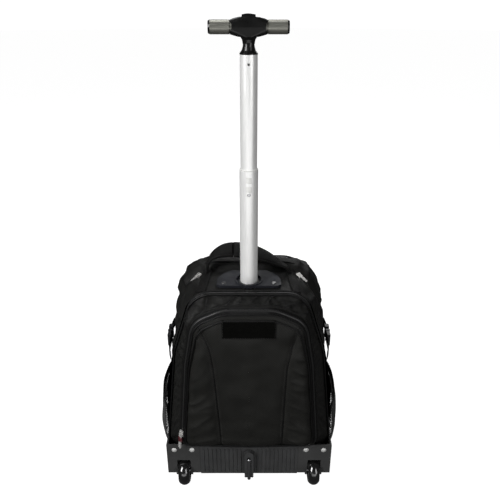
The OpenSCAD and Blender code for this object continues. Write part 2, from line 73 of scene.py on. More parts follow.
def make(name, points, faces, material, body="bag", slot=None, level=0, weld=False):
    """A smooth mesh piece that rides on a CAD body."""
    mesh = bpy.data.meshes.new(name)
    mesh.from_pydata([(p[0] * MM, p[1] * MM, p[2] * MM) for p in points], [], faces)
    mesh.validate()
    if weld:
        work = bmesh.new()
        work.from_mesh(mesh)
        bmesh.ops.remove_doubles(work, verts=work.verts, dist=1e-6)
        work.to_mesh(mesh)
        work.free()
    mesh.materials.append(material)
    mesh.polygons.foreach_set("use_smooth", [True] * len(mesh.polygons))
    obj = bpy.data.objects.new(name, mesh)
    bpy.context.scene.collection.objects.link(obj)
    if level:
        subdivided(obj, level)
    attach(obj, body)
    return obj


def strips(rows, count, closed=True, cap_start=False, cap_end=False):
    """Quads between rows of points that each hold the same count."""
    faces = []
    last = count if closed else count - 1
    for r in range(rows - 1):
        for i in range(last):
            j = (i + 1) % count
            faces.append((r * count + i, r * count + j, (r + 1) * count + j, (r + 1) * count + i))
    if cap_start:
        faces.append(tuple(range(count - 1, -1, -1)))
    if cap_end:
        faces.append(tuple((rows - 1) * count + i for i in range(count)))
    return faces


def arch(rows, inset=0.0):
    """An arch outline of AROUND points, evenly spaced from the middle of its foot, right side first."""
    cloud = []
    for half, height, radius in rows:
        bend = radius - inset
        for side in (-1, 1):
            for k in range(64):
                a = 2 * math.pi * k / 64
                cloud.append((side * (half - radius) + bend * math.cos(a), height + bend * math.sin(a)))
    hull = [cloud[i] for i in geometry.convex_hull_2d(cloud)]
    if sum(hull[i - 1][0] * p[1] - p[0] * hull[i - 1][1] for i, p in enumerate(hull)) < 0:
        hull.reverse()
    foot = min(p[1] for p in hull)
    rights = [i for i, p in enumerate(hull) if p[0] > 0]
    start = min(rights, key=lambda i: (round(hull[i][1], 3), hull[i][0]))
    loop = [(0.0, foot)] + hull[start:] + hull[:start] + [(0.0, foot)]
    return resample([Vector((x, z)) for x, z in loop], AROUND + 1)[:AROUND]


def resample(path, count):
    """count points evenly spaced along a polyline."""
    lengths = [0.0]
    for a, b in zip(path, path[1:]):
        lengths.append(lengths[-1] + (b - a).length)
    out = []
    seg = 0
    for k in range(count):
        want = lengths[-1] * k / (count - 1)
        while seg < len(path) - 2 and lengths[seg + 1] < want:
            seg += 1
        span = lengths[seg + 1] - lengths[seg]
        out.append(path[seg].lerp(path[seg + 1], (want - lengths[seg]) / span if span else 0.0))
    return out


def smooth_path(points, count):
    """A Catmull-Rom curve through the points, resampled evenly."""
    points = [Vector(p) for p in points]
    ends = [points[0] * 2 - points[1]] + points + [points[-1] * 2 - points[-2]]
    fine = []
    for i in range(1, len(ends) - 2):
        a, b, c, d = ends[i - 1:i + 3]
        for k in range(16):
            t = k / 16
            bend, twist = a * 2 - b * 5 + c * 4 - d, b * 3 - a - c * 3 + d
            fine.append(0.5 * (b * 2 + (c - a) * t + bend * t * t + twist * t ** 3))
    return resample(fine + [points[-1]], count)


def sweep(name, path, profile, material, up=(0, -1, 0), closed=False, **rest):
    """Sweeps a closed profile of (side, up) points along a path.

    up is one direction, or one for each point.
    """
    points = []
    total = len(path)
    for i, p in enumerate(path):
        before = path[i - 1] if i or closed else p
        after = path[(i + 1) % total] if i < total - 1 or closed else p
        along = (after - before).normalized()
        want = Vector(up[i]) if hasattr(up[0], "__len__") else Vector(up)
        side = along.cross(want).normalized()
        lift = side.cross(along)
        points += [p + side * u + lift * v for u, v in profile]
    faces = strips(total + 1 if closed else total, len(profile), True, not closed, not closed)
    wrap = total * len(profile)
    if closed:
        faces = [tuple(v % wrap for v in f) for f in faces]
    return make(name, points, faces, material, **rest)


def ring(radius):
    turns = [2 * math.pi * k / PIPE_SIDES for k in range(PIPE_SIDES)]
    return [(radius * math.cos(a), radius * math.sin(a)) for a in turns]


def band(width, thick, edge=0.6):
    """A webbing section with softened edges."""
    w, t = width / 2, thick
    low = [(-w, edge), (-w + edge, 0), (w - edge, 0), (w, edge)]
    return low + [(w, t - edge), (w - edge, t), (-w + edge, t), (-w, t - edge)]


def soft_step(a, b, x):
    """Rises from 0 at a to 1 at b."""
    t = min(1.0, max(0.0, (x - a) / (b - a)))
    return t * t * (3 - 2 * t)


def bell(x, width):
    """1 at 0, and close to 0 from two widths on."""
    return math.exp(-(x / width) ** 2)


# ---------- materials ----------

# Noise and weaves stay mostly within this part of 0 to 1
FACTOR_SPAN = (0.3, 0.7)
# Geometry's pointiness of the cloth, from its hollows, which get painted shade, to its ridges, which get
# painted highlights
SHADE_TO_HIGHLIGHT_SPAN = (0.47, 0.53)


class Shader:
    """A small builder for procedural materials around one Principled shader."""

    def __init__(self, name, colour, rough, metal=0.0, coat=0.0, specular=0.5):
        self.material = bpy.data.materials.new(name)
        self.material.use_nodes = True
        self.nodes = self.material.node_tree.nodes
        self.links = self.material.node_tree.links
        self.main = self.nodes["Principled BSDF"]
        self.main.inputs["Base Color"].default_value = (*colour, 1)
        self.main.inputs["Roughness"].default_value = rough
        self.main.inputs["Metallic"].default_value = metal
        self.main.inputs["Specular IOR Level"].default_value = specular
        self.main.inputs["Coat Weight"].default_value = coat
        self.main.inputs["Coat Roughness"].default_value = 0.12
        self.colour = colour
        self.place = self.nodes.new("ShaderNodeTexCoord").outputs["Object"]
        self.normal = None

    def link(self, a, b):
        self.links.new(a, b)

    def math(self, kind, a, b=0.0, c=0.0):
        node = self.nodes.new("ShaderNodeMath")
        node.operation = kind
        for socket, value in zip(node.inputs, (a, b, c)):
            if isinstance(value, (int, float)):
                socket.default_value = value
            else:
                self.link(value, socket)
        return node.outputs[0]

    def stretched(self, scale):
        """Coordinates in which noise is drawn out along the axis of the smallest scale."""
        node = self.nodes.new("ShaderNodeMapping")
        node.inputs["Scale"].default_value = scale
        self.link(self.place, node.inputs["Vector"])
        return node.outputs[0]

    def cloud(self, scale, detail=3.0, source=None):
        """Noise with features 1/scale metres across."""
        node = self.nodes.new("ShaderNodeTexNoise")
        node.inputs["Scale"].default_value = scale
        node.inputs["Detail"].default_value = detail
        self.link(source or self.place, node.inputs["Vector"])
        return node.outputs["Fac"]

    def waves(self, axis, period):
        """A cosine from 0 to 1 along a direction, with a period in millimetres."""
        node = self.nodes.new("ShaderNodeVectorMath")
        node.operation = "DOT_PRODUCT"
        self.link(self.place, node.inputs[0])
        node.inputs[1].default_value = [a * 2 * math.pi / (period * MM) for a in axis]
        return self.math("MULTIPLY_ADD", self.math("COSINE", node.outputs["Value"]), 0.5, 0.5)

    def remap(self, factor, span, low, high):
        """Runs from low to high while the factor crosses span."""
        node = self.nodes.new("ShaderNodeMapRange")
        for socket, value in zip(("From Min", "From Max", "To Min", "To Max"), (*span, low, high)):
            node.inputs[socket].default_value = value
        self.link(factor, node.inputs["Value"])
        return node.outputs[0]

    def tint(self, factor, low, high):
        """Scales the base colour between low and high as the factor rises."""
        ramp = self.nodes.new("ShaderNodeValToRGB")
        for stop, where, scale in zip(ramp.color_ramp.elements, FACTOR_SPAN, (low, high)):
            stop.position = where
            stop.color = (*[min(1.0, c * scale) for c in self.colour], 1)
        self.link(factor, ramp.inputs[0])
        self.link(ramp.outputs[0], self.main.inputs["Base Color"])
        return self

    def painted_crease_light(self):
        """Paints shade into hollows and paints highlights onto ridges, by the cloth's pointiness."""
        points = self.nodes.new("ShaderNodeNewGeometry").outputs["Pointiness"]
        shade = self.remap(points, SHADE_TO_HIGHLIGHT_SPAN, 0.45, 1.7)
        mix = self.nodes.new("ShaderNodeVectorMath")
        mix.operation = "SCALE"
        base = self.main.inputs["Base Color"]
        self.link(base.links[0].from_socket, mix.inputs[0])
        self.link(shade, mix.inputs["Scale"])
        self.link(mix.outputs[0], base)
        return self

    def wear(self, factor, low, high):
        """Roughness between low and high as the factor rises."""
        self.link(self.remap(factor, FACTOR_SPAN, low, high), self.main.inputs["Roughness"])
        return self

    def bump(self, height, depth, strength=1.0):
        """Adds relief that is depth millimetres deep."""
        node = self.nodes.new("ShaderNodeBump")
        node.inputs["Strength"].default_value = strength
        node.inputs["Distance"].default_value = depth * MM
        self.link(height, node.inputs["Height"])
        if self.normal:
            self.link(self.normal, node.inputs["Normal"])
        self.normal = node.outputs[0]
        self.link(self.normal, self.main.inputs["Normal"])
        return self


def woven(name, colour, period=1.1, depth=0.16, rough=0.66, specular=0.14):
    """Plain-weave cloth: two threads crossing, with slight fading, painted shade in its hollows and painted
    highlights on its ridges.
    """
    s = Shader(name, colour, rough, specular=specular)
    over = s.math("MULTIPLY", s.waves((1, 0.6, 0), period), s.waves((0, 0.6, 1), period))
    fade = s.cloud(22, 4)
    s.tint(s.math("MULTIPLY_ADD", over, 0.45, s.math("MULTIPLY", fade, 0.62)), 0.8, 1.25).painted_crease_light()
    s.wear(s.cloud(60, 3), rough - 0.08, rough + 0.08)
    s.bump(s.cloud(300, 3), 0.12, 0.5)
    return s.bump(over, depth).material


def diamonds(name, colour, period=3.3, depth=0.22, rough=0.62):
    """Jacquard cloth with small raised diamonds, painted shade in its hollows and painted highlights on its
    ridges.
    """
    s = Shader(name, colour, rough, specular=0.14)
    cross = s.math("MULTIPLY", s.waves((0.72, 0, 0.69), period), s.waves((0.72, 0, -0.69), period))
    fine = s.math("MULTIPLY", s.waves((1, 0, 0), 0.9), s.waves((0, 0, 1), 0.9))
    fade = s.cloud(16, 4)
    s.tint(s.math("MULTIPLY_ADD", cross, 0.5, s.math("MULTIPLY", fade, 0.6)), 0.72, 1.45).painted_crease_light()
    s.wear(cross, rough - 0.1, rough + 0.1)
    s.bump(fine, 0.08, 0.6)
    return s.bump(cross, depth).material


def webbing(name, colour, along=(0, 0, 1), period=1.6):
    """Ribbed strap: leaning rows of thread."""
    s = Shader(name, colour, 0.6, specular=0.12)
    lean = s.waves((along[0] + 0.5, along[1] + 0.5, along[2] + 0.2), period)
    s.tint(s.math("MULTIPLY_ADD", lean, 0.4, s.math("MULTIPLY", s.cloud(120, 2), 0.6)), 0.7, 1.4)
    return s.bump(lean, 0.25).material


def moulded(name, colour, rough=0.45, grain=0.05, scale=900, coat=0.0, specular=0.5):
    """Injection-moulded plastic with a fine grain and faint handling marks."""
    s = Shader(name, colour, rough, coat=coat, specular=specular)
    s.tint(s.cloud(30, 5), 0.88, 1.14)
    s.wear(s.cloud(55, 5), rough - 0.07, rough + 0.1)
    return s.bump(s.cloud(scale, 2), grain).material


def metal(name, colour, rough, grain=(60, 60, 4), brushed=0.02, metallic=1.0):
    """Metal with marks drawn out along one axis. A satin anodised skin is less metallic."""
    s = Shader(name, colour, rough, metal=metallic)
    lines = s.cloud(14, 4, s.stretched(grain))
    s.tint(lines, 0.93, 1.05)
    s.wear(lines, rough - 0.04, rough + 0.07)
    return s.bump(lines, brushed).material


BODY_CLOTH = woven("body_cloth", (0.0085, 0.0085, 0.0080), rough=0.54)
PANEL_CLOTH = diamonds("panel_cloth", (0.0100, 0.0100, 0.0091), rough=0.58)
GUSSET_CLOTH = woven("gusset_cloth", (0.0085, 0.0085, 0.0080), 1.4, 0.2, 0.52)
BACK_MESH = diamonds("back_mesh", (0.018, 0.018, 0.019), 3.8, 0.5, 0.85)
LINING = woven("pad_cloth", (0.021, 0.021, 0.023), 1.3, 0.18, 0.8)
HEM_CLOTH = woven("binding_cloth", (0.005, 0.005, 0.005), 1.0, 0.15, 0.66)
STRAP_WEB = webbing("strap_web", (0.006, 0.006, 0.006))
TOP_WEB = webbing("top_web", (0.0038, 0.0038, 0.0036), (0, 1, 0), 1.8)
CORD = moulded("piping_cord", (0.003, 0.003, 0.003), 0.42, 0.08, 1400, 0.0, 0.2)
ZIP_TAPE = woven("zip_tape", (0.005, 0.005, 0.005), 1.0, 0.12, 0.62)
COIL = moulded("zip_coil", (0.014, 0.014, 0.014), 0.34, 0.02, 1200, 0.0, 0.3)
THREAD = woven("thread", (0.016, 0.016, 0.016), 0.5, 0.1, 0.55)
POCKET_NET = moulded("pocket_net", (0.035, 0.035, 0.035), 0.55, 0.06, 1500)
LOOPS = woven("hook_and_loop", (0.0030, 0.0030, 0.0027), 1.5, 0.5, 0.95, specular=0.02)
HOUSING = moulded("housing_plastic", (0.034, 0.034, 0.034), 0.42, 0.09)
RIBBED = moulded("kick_plastic", (0.030, 0.0305, 0.031), 0.5, 0.1)
HANDLE = moulded("handle_plastic", (0.003, 0.003, 0.003), 0.3, 0.03, 1100, 0.15, 0.35)
PLATE = moulded("plate_plastic", (0.012, 0.013, 0.017), 0.5, 0.06, 1000, 0.0, 0.22)
GRIP = metal("grip_aluminium", (0.26, 0.26, 0.23), 0.38, (4, 60, 60), metallic=0.75)
BUCKLE = moulded("buckle_plastic", (0.010, 0.010, 0.011), 0.34, 0.04)
GLIDE = moulded("glide_plastic", (0.02, 0.02, 0.021), 0.4, 0.03)
COLLAR = moulded("collar_plastic", (0.72, 0.72, 0.70), 0.4, 0.03)
BOARD = moulded("board_plastic", (0.015, 0.015, 0.015), 0.6, 0.08)
TUBE = metal("tube_aluminium", (0.90, 0.90, 0.89), 0.33, (70, 70, 3), metallic=0.35)
RIVET = metal("rivet_steel", (0.56, 0.56, 0.55), 0.42, (30, 30, 30), 0.01, metallic=0.4)
ROD = metal("rod_metal", (0.30, 0.30, 0.31), 0.34, (60, 60, 4))
STEEL = metal("steel", (0.56, 0.56, 0.57), 0.3, (30, 30, 30), 0.02)
NICKEL = metal("nickel", (0.80, 0.79, 0.77), 0.25, (30, 30, 30), 0.01, metallic=0.65)
BLACK_METAL = moulded("black_metal", (0.020, 0.020, 0.021), 0.28, 0.02, 900, 0.4)
HUB = moulded("hub_plastic", (0.50, 0.50, 0.48), 0.42, 0.03)
TYRE = moulded("tyre_urethane", (0.006, 0.006, 0.006), 0.16, 0.01, 500, 1.0)
WINE = moulded("pull_rubber", (0.055, 0.007, 0.010), 0.45, 0.05)

CAD_LOOKS = {
    HOUSING: ["wheel_housing_left", "wheel_housing_right", "rear_feet", "tube_base"],
    RIBBED: ["kick_plate", "centre_skid"],
    TUBE: ["outer_tube", "middle_tube", "inner_tube"],
    ROD: ["skid_rod"],
    RIVET: ["housing_rivets"],
    STEEL: ["axle_bolts", "wheel_bearings_left", "wheel_bearings_right",
            "lower_lock_pin", "upper_lock_pin", "push_rod", "button_spring"],
    HANDLE: ["handle_neck", "handle_head", "end_caps", "push_button"],
    PLATE: ["grommet_plate"],
    GRIP: ["grip_tubes"],
    BUCKLE: ["buckle_sockets", "buckle_clip_left", "buckle_clip_right", "strap_adjusters"],
    GLIDE: ["outer_bush", "middle_plug", "inner_plug"],
    COLLAR: ["middle_bush"],
    BOARD: ["back_board", "bottom_board"],
    LINING: ["laptop_divider"],
    NICKEL: ["zip_slider", "zip_pull", "main_sliders", "main_pull_left", "main_pull_right"],
    BLACK_METAL: ["arc_slider", "arc_pull", "pole_screws"],
    HUB: ["wheel_hub_left", "wheel_hub_right"],
    TYRE: ["tyre_left", "tyre_right"],
}
for look, names in CAD_LOOKS.items():
    for name in names:
        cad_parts[name].data.materials.clear()
        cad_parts[name].data.materials.append(look)


# ---------- sewn shells ----------

def section(y, rows, inset=0.0):
    return [Vector((x, y, z)) for x, z in arch(rows, inset)]


def between(a, b, steps):
    """Rings from a towards b, without b."""
    return [[p.lerp(q, k / steps) for p, q in zip(a, b)] for k in range(steps)]


def spine(y, low, high):
    """A closing ring that runs up the middle of a panel and back down."""
    half = AROUND // 2
    return [Vector((0, y, low + (high - low) * min(i, AROUND - i) / half)) for i in range(AROUND)]


def lofted(stations):
    """Rings through stations of y, rows, inset and the steps up to the next one, without the last."""
    rings = []
    for here, after in zip(stations, stations[1:]):
        rings += between(section(*here[:3]), section(*after[:3]), here[3])
    return rings


def skin(name, rings, material, relief, backward=False, **rest):
    """A surface through rings of points, pushed out by relief(ring, step, point) millimetres.

    Rings that run towards the back are backward.
    """
    out = []
    sign = -1 if backward else 1
    for r, points in enumerate(rings):
        before, after = rings[max(r - 1, 0)], rings[min(r + 1, len(rings) - 1)]
        count = len(points)
        for i, p in enumerate(points):
            push = relief(r, i, p)
            if push:
                n = (points[(i + 1) % count] - points[i - 1]).cross(after[i] - before[i])
                p = p + n.normalized() * push * sign if n.length > 1e-9 else p
            out.append(p)
    faces = strips(len(rings), len(rings[0]))
    return make(name, out, [f[::-1] for f in faces] if sign > 0 else faces, material, weld=True, **rest)


def pierce(obj, radius):
    """Opens the top panel around the pole, under the moulded plate."""
    panel_from_z = 400
    work = bmesh.new()
    work.from_mesh(obj.data)
    gone = []
    for face in work.faces:
        middle = face.calc_center_median() / MM
        if middle.z > panel_from_z and math.hypot(middle.x, middle.y - POLE_Y) < radius:
            gone.append(face)
    bmesh.ops.delete(work, geom=gone, context="FACES")
    work.to_mesh(obj.data)
    work.free()


def ridged(p, sharp=2.0):
    """Creases: 1 along soft lines, falling to 0 between them."""
    return max(0.0, 1.0 - 2.2 * abs(noise.noise(p))) ** sharp


def slack(p, size, seed=0.0):
    """Soft swelling, from -1 to 1, with features about size millimetres across."""
    return noise.noise(Vector((p.x / size + seed, p.y / size, p.z / size - seed)))


# main compartment: the open front edge is under the front compartment
body_rings = lofted([(SEAM_Y, FRONT, 0, 18), (33, FRONT, 0, 5), (46, BODY, 3, 4), (62, BODY, 0, 6),
                     (85, BODY, 6, 4), (94, BODY, 14, 3), (BACK_Y, BODY, 24, 0)])
back_middle = spine(BACK_Y, 110, 360)
body_rings += between(section(BACK_Y, BODY, 24), back_middle, 16) + [back_middle]


def body_relief(r, i, p):
    """Puffed sides and top with folds, held in at the seams and at the moulded plate."""
    if p.y > 95:
        return 0.6 * slack(p, 60, 3)
    if p.z < 40:
        return 0.0
    along = i * 5.2
    free = (1 - bell(p.y - 22, 10)) * soft_step(-50, -40, p.y)
    hold = max(soft_step(78, 106, abs(p.x)), 1 - soft_step(392, 420, p.z))
    side = soft_step(60, 110, abs(p.x)) * soft_step(230, 300, p.z)
    puff = 3.0 * soft_step(340, 400, p.z) * bell(p.y + 12, 22) + 2.4 * slack(p, 48)
    puff += 5.0 * side * soft_step(-45, -10, p.y)
    fold = 6.5 * ridged(Vector((along / 30, p.y / 60, 0.3))) * (0.35 + soft_step(250, 400, p.z))
    return free * hold * (puff + fold - 2.0) - 0.3 * (1 - hold)


body_shell = skin("body_shell", body_rings, BODY_CLOTH, body_relief, True, slot="body_fabric", level=1)
pierce(body_shell, 26)
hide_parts("main_compartment")

# front compartment: gusset, then the slack panel that slopes in to the front pocket
front_rings = lofted([(SEAM_Y, ARC, 0, 5), (-62, ARC, 0.6, 14),
                      (-85.5, POCKET, -3, 3), (-86.5, POCKET, 6, 0)])
front_rings += [section(-86.8, POCKET, 6)]


def front_relief(r, i, p):
    """Large and small folds on the slack panel, deepest over the top of the arch."""
    if r < 6 or p.z < 106:
        return 0.0
    along = i * 4.6
    swing = soft_step(-63, -69, p.y) * soft_step(-87, -80, p.y)
    top = soft_step(330, 400, p.z)
    crease = ridged(Vector((along / 34 + p.y / 40, p.y / 50, 5.1)))
    small = ridged(Vector((along / 16 - p.y / 22, p.y / 26, 1.7)), 1.6)
    return swing * ((3.6 + 5.5 * top) * crease + 2.6 * small + 2.2 * slack(p, 36, 9) - 1.6 - 2.6 * top)


front_shell = skin("front_shell", front_rings, GUSSET_CLOTH, front_relief, slot="body_fabric", level=1)
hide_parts("front_compartment")

# front pocket: bevelled zip edge, then the crowned panel
POCKET_EDGE = [(124, 125, 10), (109, 300, 20), (98, 362, 36), (82, 363, 46)]
POCKET_SWELL = [(108, 150, 14), (94, 285, 30), (74, 326, 40)]
PANEL_SEAMS = {
    "left": [(-88, 385), (-80, 366), (-72, 346), (-66, 312),
             (-62.5, 274), (-58, 203), (-55, 150), (-54, 112)],
    "right": [(88.5, 385), (82, 367), (76, 346), (71.5, 320),
              (68, 296), (65, 206), (63.5, 150), (63, 112)],
}
seam_paths = {k: smooth_path([(x, z, 0) for x, z in v], 70) for k, v in PANEL_SEAMS.items()}
edge_ring = section(-100, POCKET_EDGE)
swell_ring = section(-110.5, POCKET_SWELL)
middle_ring = spine(-112.5, 175, 300)


def crown(a, b, steps, ease):
    """Rings from a to b whose depth follows ease."""
    out = between(a, b, steps)
    for k, points in enumerate(out):
        depth = a[0].y + (b[0].y - a[0].y) * ease(k / steps)
        out[k] = [Vector((p.x, depth, p.z)) for p in points]
    return out


pocket_rings = lofted([(-86.2, POCKET, -1, 1), (ZIP_EDGE_Y, POCKET, 0, 4), (-100, POCKET_EDGE, 0, 0)])
pocket_rings += crown(edge_ring, swell_ring, 14, lambda t: math.sin(t * math.pi / 2))
pocket_rings += between(swell_ring, middle_ring, 22) + [middle_ring]


def seam_gap(p, side):
    """How far a point of the panel is from a seam, which falls all the way down."""
    path = seam_paths[side]
    k = bisect.bisect([-q.y for q in path], -p.z)
    a, b = path[max(0, min(k - 1, len(path) - 2))], path[max(1, min(k, len(path) - 1))]
    slope = (b.x - a.x) / (b.y - a.y)
    reach = min(a.y, max(b.y, p.z))
    across = p.x - (a.x + slope * (reach - a.y))
    return math.hypot(across / math.sqrt(1 + slope * slope), p.z - reach)


def pocket_relief(r, i, p):
    """Folds that run in from the sides, sunk seams, and a flat bed for the name patch."""
    if r < 5:
        return 0.0
    left, right = seam_gap(p, "left"), seam_gap(p, "right")
    near = min(left, right)
    fade = soft_step(5, 11, r)
    outside = 1.0 if abs(p.x) > 60 + max(0.0, p.z - 250) * 0.2 else 0.0
    slope = p.x * 0.35 - abs(p.z) * 0.94 * (1 if p.x < 0 else -1)
    lean = Vector((slope / 26, p.x / 75, 2.0 + (p.x > 0)))
    folds = 2.6 * ridged(lean, 1.6) * outside * soft_step(4, 14, near)
    patch = bell(max(0.0, abs(p.x) - 44), 8) * bell(max(0.0, abs(p.z - 386) - 15), 6)
    foot = 1.2 * bell(p.z - 128, 14) * ridged(Vector((p.x / 22, 0, 3.3)), 1.5)
    flat = Vector((p.x, 0, p.z))
    billow = 3.6 * slack(flat, 62, 4) + 1.6 * slack(flat, 26, 8)
    foot -= 5.0 * bell(p.x, 75) * bell(p.z - 118, 16)
    swell = folds + billow - foot - 2.4 * bell(near, 3.2) - 1.6 * bell(near, 10)
    return fade * (1 - patch) * swell - 0.5 * patch


pocket_panel = skin("pocket_panel", pocket_rings, PANEL_CLOTH, pocket_relief, slot="panel_fabric", level=1)
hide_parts("front_pocket")


# ---------- seams, piping and zips ----------

# Heights where the piping of the outer arch and of the pocket begins
ARCH_FOOT = 100
POCKET_FOOT = 108


def climb(points, low, left=None):
    """The part of a section ring above a height, from its right foot over the top to its left foot.

    With left given, only that half of it.
    """
    path = [p for p in points if p.z > low]
    return path if left is None else [p for p in path if (p.x < 0) == left]


def outward(path, lean=0.0):
    """Directions away from the middle of the bag, tilted forward by lean."""
    middle_z = 230
    out = []
    for i, p in enumerate(path):
        along = (path[min(i + 1, len(path) - 1)] - path[max(i - 1, 0)]).normalized()
        n = along.cross(Vector((0, -1, 0)))
        if n.dot(Vector((p.x, 0, p.z - middle_z))) < 0:
            n.negate()
        out.append((n.normalized() + Vector((0, -lean, 0))).normalized())
    return out


def shifted(path, directions, amount):
    return [p + Vector(d) * amount for p, d in zip(path, directions)]


def run_length(path):
    return sum((b - a).length for a, b in zip(path, path[1:]))


def zip_line(name, path, ups, width, slot="body_fabric"):
    """A woven tape and the ribbed coil along its middle."""
    coil_pitch = 0.95
    turns = (0.0, 0.9, 1.57, 2.24, 3.14, 4.7)
    sweep(name + "_tape", shifted(path, ups, 0.2), band(width, 1.0, 0.4), ZIP_TAPE, up=ups, slot=slot)
    count = int(run_length(path) / coil_pitch)
    fine = resample(shifted(path, ups, 1.3), count)
    fine_ups = resample([Vector(u) for u in ups], count)
    points = []
    for i, p in enumerate(fine):
        along = (fine[min(i + 1, count - 1)] - fine[max(i - 1, 0)]).normalized()
        side = along.cross(fine_ups[i]).normalized()
        lift = side.cross(along)
        fat = 1.0 if i % 2 else 0.72
        points += [p + side * (2.6 * fat * math.cos(a)) + lift * (1.15 * fat * math.sin(a)) for a in turns]
    make(name + "_coil", points, strips(count, len(turns), True, True, True), COIL, slot="slider_dark")


# The faces of one stitch: a low loaf with two points on its ridge
STITCH = ((0, 1, 4), (1, 2, 5, 4), (2, 3, 5), (3, 0, 4, 5), (3, 2, 1, 0))


def stitches(name, path, ups, lift, pitch=3.4, body="bag"):
    """A row of short raised threads along a path."""
    count = max(2, int(run_length(path) / pitch))
    fine = resample(shifted(path, ups, lift), count * 2)
    tall = resample([Vector(u) for u in ups], count * 2)
    points, faces = [], []
    for k in range(count - 1):
        a, b, up = fine[2 * k], fine[2 * k + 1], tall[2 * k].normalized()
        along = (b - a).normalized()
        side = along.cross(up).normalized() * 0.42
        base = len(points)
        ridge = [a.lerp(b, 0.25) + up * 0.45, a.lerp(b, 0.75) + up * 0.45]
        points += [a - side, a + side, b + side, b - side] + ridge
        faces += [tuple(base + v for v in f) for f in STITCH]
    make(name, points, faces, THREAD, body=body, slot="webbing")


def tack(name, line, offset, up, lift):
    """A short row of stitches beside the middle of a strap's end."""
    stitches(name, [p + Vector(offset) for p in line], [Vector(up)] * len(line), lift, 2.6)


def pipe(name, path, radius, ups=(0, -1, 0)):
    return sweep(name, path, ring(radius), CORD, up=ups, slot="piping")


# outer arch: a zip between two piped edges
for tag, y, inset in (("rear", -51.8, 0), ("front", -64.2, 0.3)):
    path = climb(section(y, ARC, inset), ARCH_FOOT)
    edge = pipe("arch_piping_" + tag, shifted(path, outward(path), 0.9), 1.6, ups=outward(path))
    if tag == "rear":
        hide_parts("piping")
path = climb(section(-57.9, ARC, 0.2), ARCH_FOOT)
zip_line("gusset_zip", path, outward(path), width=10)

# front pocket: zip on the bevel, then two piped edges
zip_edge = section(ZIP_EDGE_Y, POCKET)


def midway(a, b, part):
    """A ring part of the way from a to b."""
    return [p.lerp(q, part) for p, q in zip(a, b)]


path = climb(midway(zip_edge, edge_ring, 0.42), POCKET_FOOT)
zip_line("pocket_zip", path, outward(path, lean=1.0), width=12, slot="panel_fabric")
for tag, ring_at, lift in (("outer", midway(zip_edge, edge_ring, 0.9), 1.0),
                           ("inner", midway(edge_ring, swell_ring, 0.22), 3.4)):
    path = climb(ring_at, POCKET_FOOT)
    ups = outward(path, lean=1.2)
    pipe("pocket_piping_" + tag, shifted(path, ups, lift), 1.5, ups=ups)
foot = [p for p in section(-90.6, POCKET, 0.4) if p.z < 112 and abs(p.x) < 131]
foot.sort(key=lambda p: p.x)
foot = [p + Vector((0, -3.5 * bell(p.x, 90), -0.6 - 0.8 * bell(p.x, 80))) for p in foot]
pipe("pocket_foot_piping", foot, 1.5)

# the two curved seams of the front panel, laid on the finished surface
bpy.context.view_layer.update()
graph = bpy.context.evaluated_depsgraph_get()


def on_surface(obj, origin, direction):
    """Where a ray meets a piece, in millimetres, and the surface's direction there.

    A ray that misses gives its own origin and the way back.
    """
    hit, place, normal, _ = obj.evaluated_get(graph).ray_cast(at(*origin), Vector(direction))
    return (place / MM, normal) if hit else (Vector(origin), -Vector(direction))


def on_panel(flat_path, away=0.0):
    """A path of (x, z) laid on the front panel from before it, moved sideways by away."""
    before_y = -160
    return [on_surface(pocket_panel, (p.x + away, before_y, p.y), (0, 1, 0))[0] for p in flat_path]


for side, flat_path in seam_paths.items():
    laid = on_panel(flat_path)
    eased = [(a + b + c) / 3 for a, b, c in zip(laid, laid[1:], laid[2:])]
    laid = resample([laid[0]] + eased + [laid[-1]], 80)
    pipe("panel_seam_" + side, shifted(laid, [(0, -1, 0)] * len(laid), 0.3), 1.1)
    beside = on_panel(flat_path, -3.4 if side == "right" else 3.4)
    stitches("panel_stitches_" + side, beside, [Vector((0, -1, 0))] * len(beside), 0.1)

# main compartment: back seam, top seams and the zip down each side
path = climb(section(86, BODY, 6), 60)
pipe("back_piping", shifted(path, outward(path, lean=-0.5), 0.8), 1.8, ups=outward(path))
path = climb(section(52, BODY, 1.6), 60)
pipe("crest_piping", shifted(path, outward(path), 0.5), 1.4, ups=outward(path))
for side, left in (("right", False), ("left", True)):
    path = [p for p in climb(section(22, FRONT), 128, left) if abs(p.x) > 97 or p.z < 400]
    zip_line("main_zip_" + side, path, outward(path), width=18)


# ---------- name patch, side pockets, straps ----------

# patch of loops: rows of small tufts on a bound backing
PATCH_LEAN = math.radians(-11)
PATCH_HALF_WIDE, PATCH_HALF_TALL = 47, 17
PATCH_Y, PATCH_Z = -108.2, 386


def on_patch(u, v, w):
    """A point across, up and out from the patch, which leans with the panel."""
    down, out = math.sin(PATCH_LEAN), math.cos(PATCH_LEAN)
    return Vector((u, PATCH_Y - v * down - w * out, PATCH_Z + v * out - w * down))


cols, lines = 124, 46
tufts = []
for b in range(lines + 1):
    for a in range(cols + 1):
        u = -PATCH_HALF_WIDE + 2 * PATCH_HALF_WIDE * a / cols
        v = -PATCH_HALF_TALL + 2 * PATCH_HALF_TALL * b / lines
        edge = min(PATCH_HALF_WIDE - abs(u), PATCH_HALF_TALL - abs(v))
        high = 1.0 + 0.55 * (a % 2) * (0.6 + 0.4 * (b % 2)) + 0.35 * noise.noise(Vector((u, v, 0)))
        tufts.append(on_patch(u, v, high if edge > 1.6 else 0.7 if edge > 0.1 else -1.5))
patch = make("name_patch", tufts, strips(lines + 1, cols + 1, False), LOOPS, slot="webbing")
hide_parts("loop_patch")
corners = [on_patch(u, v, 0.9) for u, v in ((-45.5, -15.5), (45.5, -15.5), (45.5, 15.5), (-45.5, 15.5))]
border = [a.lerp(b, t / 20) for a, b in zip(corners, corners[1:] + corners[:1]) for t in range(20)]
stitches("patch_stitches", border + [border[0]], [Vector((0, -1, 0.2))] * (len(border) + 1), 0.1, 3.0)


